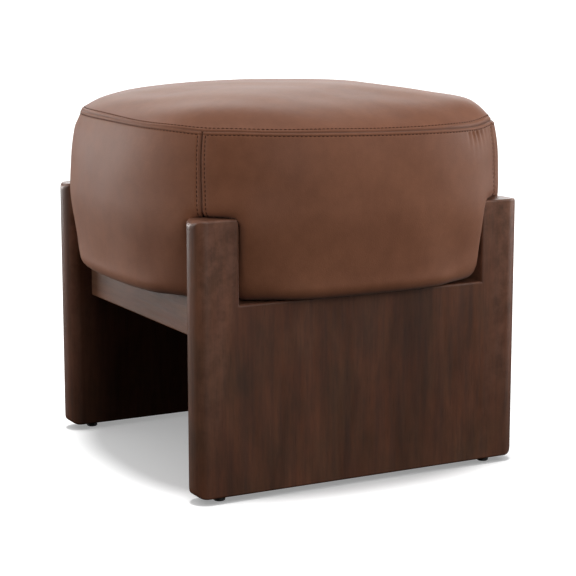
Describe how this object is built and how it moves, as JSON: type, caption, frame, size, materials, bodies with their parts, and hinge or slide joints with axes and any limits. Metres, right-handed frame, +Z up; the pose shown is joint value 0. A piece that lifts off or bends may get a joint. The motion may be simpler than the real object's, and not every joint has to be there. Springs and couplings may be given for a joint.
{
  "type": "leather pouf",
  "caption": "Square-round crowned leather pouf seat, held between the posts of two U-shaped dark wood side panels joined by rails, on small screw-in glides.",
  "frame": {"origin": "centre of the footprint, on the floor under the glides", "axes": "+X across the two side panels towards the right one, -Y towards the open front, +Z up"},
  "size_m": [0.499, 0.499, 0.455],
  "materials": {
    "walnut": "dark walnut stain, satin lacquer, rubbed through to a lighter brown on the edges",
    "beech": "bare planed beech",
    "plywood": "bare birch plywood with visible plies on its edge",
    "steel": "zinc plated",
    "webbing": "woven elastic webbing",
    "foam": "open cell upholstery foam",
    "fibre": "bonded polyester fibre",
    "leather": "matt waxed brown leather, double topstitched in a darker brown",
    "dust_cloth": "black non-woven dust cloth",
    "glide_nylon": "black moulded nylon"
  },
  "bodies": {
    "base_and_seat": {"panel_right": "walnut", "panel_left": "walnut", "rail_front": "walnut", "rail_rear": "walnut", "cleat_right": "beech", "cleat_left": "beech", "rail_dowels": "beech", "cleat_screws": "steel", "deck_screws": "steel", "deck_washers": "steel", "seat_deck": "plywood", "frame_blocks": "beech", "frame_ring": "plywood", "frame_screws": "steel", "webbing_across": "webbing", "webbing_along": "webbing", "webbing_staples": "steel", "foam_sides": "foam", "foam_seat": "foam", "fibre_wrap": "fibre", "cover_top": "leather", "cover_front": "leather", "cover_rear": "leather", "cover_right": "leather", "cover_left": "leather", "cover_staples": "steel", "dust_cover": "dust_cloth", "glide_inserts": "steel"},
    "glide_pad_fr": {"glide_pad_fr": "glide_nylon"},
    "glide_stem_fr": {"glide_stem_fr": "steel"},
    "glide_pad_fl": {"glide_pad_fl": "glide_nylon"},
    "glide_stem_fl": {"glide_stem_fl": "steel"},
    "glide_pad_rr": {"glide_pad_rr": "glide_nylon"},
    "glide_stem_rr": {"glide_stem_rr": "steel"},
    "glide_pad_rl": {"glide_pad_rl": "glide_nylon"},
    "glide_stem_rl": {"glide_stem_rl": "steel"}
  },
  "joints": [
    {"name": "glide_height_fr", "type": "slide", "parent": "base_and_seat", "child": "glide_pad_fr", "axis": [0, 0, -1], "range_m": [0, 0.01]},
    {"name": "glide_screw_fr", "type": "hinge", "parent": "glide_pad_fr", "child": "glide_stem_fr", "pos_m": [0.193, -0.1815, 0.0044], "axis": [0, 0, -1], "range_deg": [0, 3601]},
    {"name": "glide_height_fl", "type": "slide", "parent": "base_and_seat", "child": "glide_pad_fl", "axis": [0, 0, -1], "range_m": [0, 0.01]},
    {"name": "glide_screw_fl", "type": "hinge", "parent": "glide_pad_fl", "child": "glide_stem_fl", "pos_m": [-0.193, -0.1815, 0.0044], "axis": [0, 0, -1], "range_deg": [0, 3601]},
    {"name": "glide_height_rr", "type": "slide", "parent": "base_and_seat", "child": "glide_pad_rr", "axis": [0, 0, -1], "range_m": [0, 0.01]},
    {"name": "glide_screw_rr", "type": "hinge", "parent": "glide_pad_rr", "child": "glide_stem_rr", "pos_m": [0.193, 0.1815, 0.0044], "axis": [0, 0, -1], "range_deg": [0, 3601]},
    {"name": "glide_height_rl", "type": "slide", "parent": "base_and_seat", "child": "glide_pad_rl", "axis": [0, 0, -1], "range_m": [0, 0.01]},
    {"name": "glide_screw_rl", "type": "hinge", "parent": "glide_pad_rl", "child": "glide_stem_rl", "pos_m": [-0.193, 0.1815, 0.0044], "axis": [0, 0, -1], "range_deg": [0, 3601]}
  ],
  "couplings": [
    {"joint": "glide_screw_fr", "follows": "glide_height_fr", "rad_per_m": 6283.2},
    {"joint": "glide_screw_fl", "follows": "glide_height_fl", "rad_per_m": 6283.2},
    {"joint": "glide_screw_rr", "follows": "glide_height_rr", "rad_per_m": 6283.2},
    {"joint": "glide_screw_rl", "follows": "glide_height_rl", "rad_per_m": 6283.2}
  ]
}
